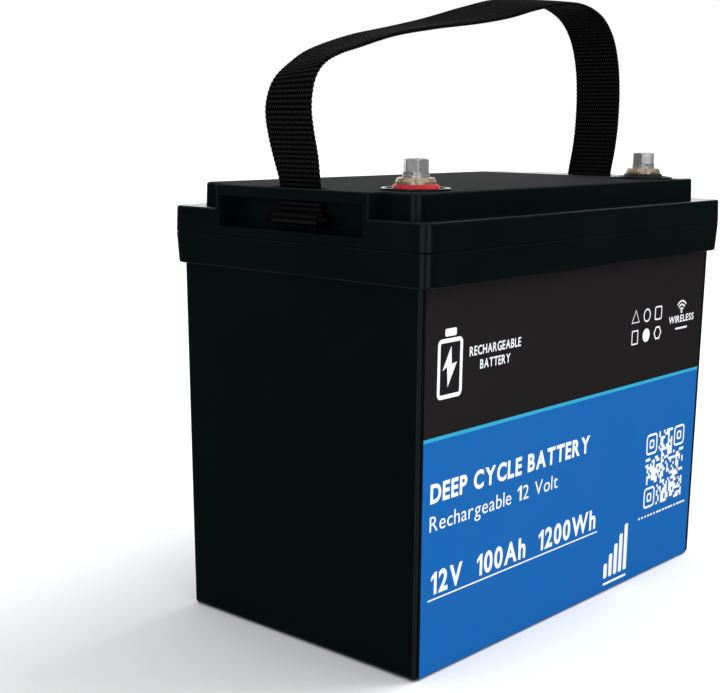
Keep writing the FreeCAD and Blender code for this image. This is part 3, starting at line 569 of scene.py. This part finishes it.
def make_bolt(name, body, centre, seat, turn, material):
    """Hex head with a washer face, a crown chamfer and a dished top, on a cut M6 thread."""
    corner = HEAD_ACROSS / math.sqrt(3)
    levels = []
    for a in quarter(FOOT_STEPS):
        levels.append((corner - HEAD_FOOT * (1 - math.sin(a)), HEAD_FOOT * (1 - math.cos(a))))
    for a in quarter(CROWN_STEPS):
        drop = HEAD_CROWN * (1 - math.sin(a))
        levels.append((corner - HEAD_CROWN * (1 - math.cos(a)), HEAD_HEIGHT - drop))
    levels += [(radius, HEAD_HEIGHT - depth) for radius, depth in HEAD_LIP]
    rings = []
    for radius, height in levels:
        ring = []
        for step in range(AROUND):
            angle = 2 * math.pi * step / AROUND
            reach = min(radius, hex_radius(angle))
            ring.append((reach, angle + turn, seat + height))
        rings.append(ring)
    shank = []
    steps = int(BOLT_LENGTH / THREAD_PITCH * THREAD_STEPS)
    for level in range(steps + 1):
        z = seat - BOLT_LENGTH + BOLT_LENGTH * level / steps
        taper = min(1.0, (z - seat + BOLT_LENGTH) / TIP_LENGTH)
        ring = []
        for step in range(AROUND // 2):
            angle = 4 * math.pi * step / AROUND
            phase = ((z / THREAD_PITCH) - angle / (2 * math.pi)) % 1.0
            cut = max(0.0, 1 - abs(phase - 0.5) * THREAD_FLANK)
            radius = THREAD_CREST - (THREAD_CREST - THREAD_ROOT) * cut
            if z > seat - THREAD_RUNOUT:
                radius = THREAD_CREST
            ring.append((radius - TIP_BREAK * (1 - taper), angle, z))
        shank.append(ring)
    points, faces = [], []
    for group in (shank, rings):
        first = len(points)
        around = len(group[0])
        for ring in group:
            for radius, angle, z in ring:
                x = centre[0] + radius * math.cos(angle) * MM
                y = centre[1] + radius * math.sin(angle) * MM
                points.append(Vector((x, y, z * MM)))
        faces += ring_faces(len(group), around, first)
        faces.append(tuple(range(first, first + around))[::-1])
        faces.append(tuple(range(len(points) - around, len(points))))
    made = piece(name, points, faces, material, body)
    made.data.set_sharp_from_angle(angle=math.radians(28))
    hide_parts(name.replace("_bolt_head", "_terminal_bolt"))


# ---------------------------------------------------------------- label print
PRINT_LOW = 0.01
PRINT_HIGH = 0.04
CAPITAL = 0.73
WORD_SPACE = 0.5
LEVEL = 0.0005
LABEL_BEND = 0.006
WELD = 0.000001
FIGURE_ONE = ((0.22, 0.0), (0.42, 0.0), (0.42, 1.0), (0.26, 1.0), (0.0, 0.80), (0.0, 0.62), (0.22, 0.76))


class Print:
    """White ink shapes on the label, in millimetres across (u) and up (v) its face."""

    def __init__(self):
        self.points = []
        self.faces = []

    def solid(self, outline):
        """A thin prism under one outline, counterclockwise."""
        first, count = len(self.points), len(outline)
        for height in (PRINT_LOW, PRINT_HIGH):
            self.points += [(u, v, height) for u, v in outline]
        self.faces.append(tuple(range(first, first + count))[::-1])
        self.faces.append(tuple(range(first + count, first + 2 * count)))
        self.faces += ring_faces(2, count, first)

    def band(self, outer, inner):
        """A thin closed band between two outlines of the same count."""
        first, count = len(self.points), len(outer)
        loops = ((outer, PRINT_LOW), (outer, PRINT_HIGH), (inner, PRINT_HIGH), (inner, PRINT_LOW))
        for outline, height in loops:
            self.points += [(u, v, height) for u, v in outline]
        self.faces += ring_faces(4, count, first)
        last = first + 3 * count
        for step in range(count):
            after = (step + 1) % count
            self.faces.append((last + step, last + after, first + after, first + step))

    def disc(self, u, v, radius):
        self.solid(circle(u, v, radius))

    def ring(self, u, v, radius, line, corners=28, turn=0.0):
        self.band(circle(u, v, radius, corners, turn), circle(u, v, radius - line, corners, turn))

    def frame(self, u, v, width, height, corner, line):
        inner = max(corner - line, 0.15)
        self.band(
            rounded(u, v, width, height, corner),
            rounded(u + line, v + line, width - 2 * line, height - 2 * line, inner),
        )

    def bar(self, start, end, line):
        along = Vector(end) - Vector(start)
        side = Vector((-along.y, along.x)).normalized() * line / 2
        a, b = Vector(start), Vector(end)
        self.solid([tuple(a - side), tuple(b - side), tuple(b + side), tuple(a + side)])

    def glyph(self, letter, weight):
        """One letter as points and faces, with its corner at zero and capitals one unit tall."""
        if letter == "1":
            count = len(FIGURE_ONE)
            points = [(x, y, level) for level in (0, 1) for x, y in FIGURE_ONE]
            caps = [tuple(range(count))[::-1], tuple(range(count, 2 * count))]
            return points, caps + ring_faces(2, count)
        curve = bpy.data.curves.new("letter", "FONT")
        curve.body = letter
        curve.extrude = 0.01
        curve.offset = weight
        curve.resolution_u = 4
        holder = bpy.data.objects.new("letter", curve)
        bpy.context.scene.collection.objects.link(holder)
        bpy.context.view_layer.update()
        data = bpy.data.meshes.new_from_object(holder.evaluated_get(bpy.context.evaluated_depsgraph_get()))
        left = min(vertex.co.x for vertex in data.vertices)
        points = []
        for vertex in data.vertices:
            place = vertex.co
            points.append(((place.x - left) / CAPITAL, (place.y + weight) / CAPITAL, place.z > 0))
        faces = [tuple(face.vertices) for face in data.polygons]
        bpy.data.objects.remove(holder)
        bpy.data.curves.remove(curve)
        bpy.data.meshes.remove(data)
        return points, faces

    def words(self, text, u0, u1, v, height, weight=0.0, gap=0.13):
        """Plain lettering that runs from u0 to u1, with capitals height tall."""
        set_letters = []
        run = 0.0
        for letter in text:
            if letter == " ":
                run += WORD_SPACE
                continue
            points, faces = self.glyph(letter, weight)
            set_letters.append((run, points, faces))
            run += max(x for x, _, _ in points) + gap
        stretch = (u1 - u0) / (run - gap)
        for start, points, faces in set_letters:
            first = len(self.points)
            for x, y, upper in points:
                level = PRINT_HIGH if upper else PRINT_LOW
                self.points.append((u0 + (start + x) * stretch, v + y * height, level))
            self.faces += [tuple(first + index for index in face) for face in faces]


def circle(u, v, radius, corners=28, turn=0.0):
    return [
        (
            u + radius * math.cos(turn + 2 * math.pi * step / corners),
            v + radius * math.sin(turn + 2 * math.pi * step / corners),
        )
        for step in range(corners)
    ]


def rounded(u, v, width, height, corner):
    outline = []
    for index, (cu, cv) in enumerate(
        (
            (u + width - corner, v + corner),
            (u + width - corner, v + height - corner),
            (u + corner, v + height - corner),
            (u + corner, v + corner),
        )
    ):
        for step in range(5):
            angle = math.pi / 2 * (index - 1 + step / 4)
            outline.append((cu + corner * math.cos(angle), cv + corner * math.sin(angle)))
    return outline


SPARK = ((-107.9, 140.0), (-107.2, 131.0), (-101.0, 141.6), (-104.6, 141.0), (-105.2, 149.0), (-111.0, 138.6))


def emblem(ink):
    """A plain battery sign: cell outline, cap and a spark."""
    ink.frame(-114.5, 126.0, 17.5, 26.5, 2.6, 1.9)
    ink.solid(rounded(-109.7, 153.4, 8.0, 3.4, 0.8))
    ink.solid(SPARK)


RADIO_PLACE = (98.5, 143.0)
RADIO_RADII = (2.6, 4.6, 6.6)
RADIO_LINE = 0.9
RADIO_ANGLES = (0.7, 2.44)
RADIO_STEPS = 12


def arc(radius, start, end):
    """Points on an arc about the radio sign's centre."""
    u, v = RADIO_PLACE
    angles = np.linspace(start, end, RADIO_STEPS)
    return [(u + radius * math.cos(a), v + radius * math.sin(a)) for a in angles]


def pictograms(ink):
    """Six plain shapes and a radio sign."""
    ink.ring(50.0, 144.4, 4.6, 0.8, 3, math.pi / 2)
    ink.ring(61.5, 145.0, 3.6, 0.8)
    ink.frame(69.6, 141.4, 7.4, 7.4, 1.2, 0.8)
    ink.frame(46.8, 130.6, 6.4, 7.6, 0.6, 0.7)
    ink.disc(61.5, 134.4, 3.6)
    ink.ring(73.3, 134.4, 4.0, 1.0, 6)
    low, high = RADIO_ANGLES
    for radius in RADIO_RADII:
        ink.solid(arc(radius, low, high) + arc(radius - RADIO_LINE, high, low))
    ink.disc(98.5, 143.3, 0.9)
    ink.words("WIRELESS", 85.0, 112.5, 137.6, 3.9, 0.02)
    ink.bar((92.5, 134.3), (105.5, 134.3), 1.0)


CODE_SIZE = 25
CODE_PLACE = (68.5, 37.5)
CODE_WIDTH = 41.5
CODE_EYE = 7
CODE_FILL = 0.52
CODE_HEIGHT = 0.96
CODE_ROUND = 0.28


def code_square(ink):
    """A made-up square of random modules. It carries no message."""
    cell = CODE_WIDTH / CODE_SIZE
    left, low = CODE_PLACE
    far = CODE_SIZE - CODE_EYE
    corners = ((0, 0), (0, far), (far, far))
    for row in range(CODE_SIZE):
        start = None
        for column in range(CODE_SIZE + 1):
            clear = any(
                a - 1 <= column <= a + CODE_EYE and b - 1 <= row <= b + CODE_EYE for a, b in corners
            )
            dark = column < CODE_SIZE and not clear and rng.random() < CODE_FILL
            if dark and start is None:
                start = column
            if not dark and start is not None:
                place = (left + start * cell, low + row * cell)
                size = ((column - start) * cell, cell * CODE_HEIGHT)
                ink.solid(rounded(*place, *size, cell * CODE_ROUND))
                start = None
    for a, b in corners:
        ink.frame(left + a * cell, low + b * cell, CODE_EYE * cell, CODE_EYE * cell, 2.6, 1.25)
        ink.frame(left + (a + 2) * cell, low + (b + 2) * cell, 3 * cell, 3 * cell, 1.3, 1.15)


CHARGE_BARS = 5
CHARGE_PLACE = (30.5, 8.0)
CHARGE_PITCH = 4.9
CHARGE_WIDTH = 3.3
CHARGE_FIRST = 8.0
CHARGE_STEP = 4.4
RULE_V = 4.2
RULE_SIZE = (22.9, 1.3)


def charge_bars(ink):
    """A plain charge level sign: a row of bars, each taller than the last, over a rule."""
    for index in range(CHARGE_BARS):
        height = CHARGE_FIRST + index * CHARGE_STEP
        ink.solid(rounded(CHARGE_PLACE[0] + index * CHARGE_PITCH, CHARGE_PLACE[1], CHARGE_WIDTH, height, 0.9))
    ink.solid(rounded(CHARGE_PLACE[0], RULE_V, *RULE_SIZE, 0.4))


def label_frame():
    """The label's flat front as an origin and its directions up and out."""
    corners = [vertex.co for vertex in nodes["front_label"].data.vertices]
    top = max(corner.z for corner in corners)
    high = min((corner for corner in corners if corner.z > top - LEVEL), key=lambda corner: corner.y)
    low = min((corner for corner in corners if corner.z < LABEL_BEND), key=lambda corner: corner.y)
    up = Vector((0, high.y - low.y, high.z - low.z)).normalized()
    out = Vector((1, 0, 0)).cross(up)
    return Vector((0, low.y - low.z * up.y / up.z, 0)), up, out


DASHES = 16
DASH_START = 64.0
DASH_PITCH = 3.2
DASH_V = 33.0
DASH_LINE = 1.1


def make_print(material):
    """All the white lettering and signs as one piece on the label's front."""
    ink = Print()
    emblem(ink)
    ink.words("RECHARGEABLE", -92.0, -53.0, 142.6, 4.3, 0.02)
    ink.words("BATTERY", -84.0, -61.0, 136.0, 4.3, 0.02)
    pictograms(ink)
    ink.words("DEEP CYCLE BATTERY", -117.0, 11.0, 80.3, 8.6, 0.035)
    ink.words("Rechargeable 12 Volt", -117.0, -17.0, 67.6, 7.4)
    ink.words("12V  100Ah  1200Wh", -115.0, 20.0, 38.2, 10.4, 0.03)
    ink.bar((-117.0, 36.0), (22.0, 36.0), 0.7)
    code_square(ink)
    for index in range(DASHES):
        start = DASH_START + index * DASH_PITCH
        ink.bar((start, DASH_V), (start + rng.uniform(1.6, 2.9), DASH_V), DASH_LINE)
    charge_bars(ink)
    origin, up, out = label_frame()
    points = [origin + Vector((u * MM, 0, 0)) + up * v * MM + out * w * MM for u, v, w in ink.points]
    made = piece("label_print", points, ink.faces, material, "root", smooth=False)
    mesh = bmesh.new()
    mesh.from_mesh(made.data)
    bmesh.ops.remove_doubles(mesh, verts=mesh.verts, dist=WELD)
    mesh.to_mesh(made.data)
    mesh.free()


# ---------------------------------------------------------------- stage
WORLD_DARK = (0.026, 0.030, 0.031)
WORLD_SOFT = (0.92, 0.93, 0.94)
WHITE = (1, 1, 1)
FLOOR_REACH = 30.0


def make_world():
    """White behind the object. Matt surfaces see an even soft light. Gloss sees a dark room
    with pale screens on two opposite sides, each with a gap, and pale above and below."""
    world = bpy.data.worlds.new("studio")
    world.use_nodes = True
    graph = Graph(world.node_tree)
    x, y, z = graph.add("SeparateXYZ", Vector=graph.add("TexCoord").outputs["Generated"]).outputs
    facing = graph.math("MULTIPLY", x, y)
    between = graph.math("ABSOLUTE", graph.math("SUBTRACT", x, y))
    screens = graph.math(
        "MULTIPLY", graph.remap(facing, 0.0, 0.9, 0.12, 0.36), graph.remap(between, 0.12, 1.0, 0.12, 0.46)
    )
    backdrop = graph.math(
        "MULTIPLY", graph.remap(facing, 0.0, 1.4, 0.10, 0.40), graph.math("GREATER_THAN", x, 0.0)
    )
    screens = graph.math("MAXIMUM", screens, backdrop)
    above = graph.remap(z, 0.0, 0.40, 0.30, 0.75)
    below = graph.remap(z, 0.4, 0.0, -0.80, -0.45)
    pale = graph.math("MAXIMUM", screens, graph.math("MAXIMUM", above, below))
    gloss = graph.mix(pale, WORLD_DARK, WORLD_SOFT)
    gloss.node.clamp_factor = False
    path = graph.add("LightPath").outputs
    seen = graph.mix(path["Is Glossy Ray"], WORLD_SOFT, gloss)
    seen = graph.mix(path["Is Camera Ray"], seen, WHITE)
    graph.put(world.node_tree.nodes["Background"].inputs["Color"], seen)
    bpy.context.scene.world = world


def make_stage():
    floor = Finish("floor_pale", (0.9, 0.9, 0.9), 0.8, Specular_IOR_Level=0.0)
    floor.colour(floor.mix(floor.noise(3.0), (0.90, 0.90, 0.90), (0.92, 0.92, 0.92)))
    corners = [(x * FLOOR_REACH, y * FLOOR_REACH, 0) for x, y in ((-1, -1), (1, -1), (1, 1), (-1, 1))]
    data = bpy.data.meshes.new("floor")
    data.from_pydata(corners, [], [(0, 1, 2, 3)])
    data.materials.append(floor.material)
    made = bpy.data.objects.new("floor", data)
    made.visible_glossy = False
    bpy.context.scene.collection.objects.link(made)


SUN_FROM = (1.0, -0.34, 0.92)
SUN_SOFTNESS = math.radians(46)
SUN_STRENGTH = 2.3


def make_lights():
    """One broad key light from the right. It is left out of reflections."""
    data = bpy.data.lights.new("key", "SUN")
    data.energy = SUN_STRENGTH
    data.angle = SUN_SOFTNESS
    made = bpy.data.objects.new("key", data)
    made.rotation_euler = Vector(SUN_FROM).to_track_quat("Z", "Y").to_euler()
    made.visible_glossy = False
    bpy.context.scene.collection.objects.link(made)


POSITIVE_TURN = math.radians(22)
NEGATIVE_TURN = math.radians(49)

make_camera()
make_world()
make_stage()
make_lights()
looks = dress_cad()
make_strap(looks["webbing"])
make_print(ink_finish())
for side, box, turn in (("positive", POSITIVE, POSITIVE_TURN), ("negative", NEGATIVE, NEGATIVE_TURN)):
    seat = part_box(side + "_spring_washer")[1].z / MM
    make_bolt(side + "_bolt_head", side + "_bolt", middle(box), seat, turn, looks["bolt_steel"])
bpy.context.scene.view_settings.view_transform = "Standard"
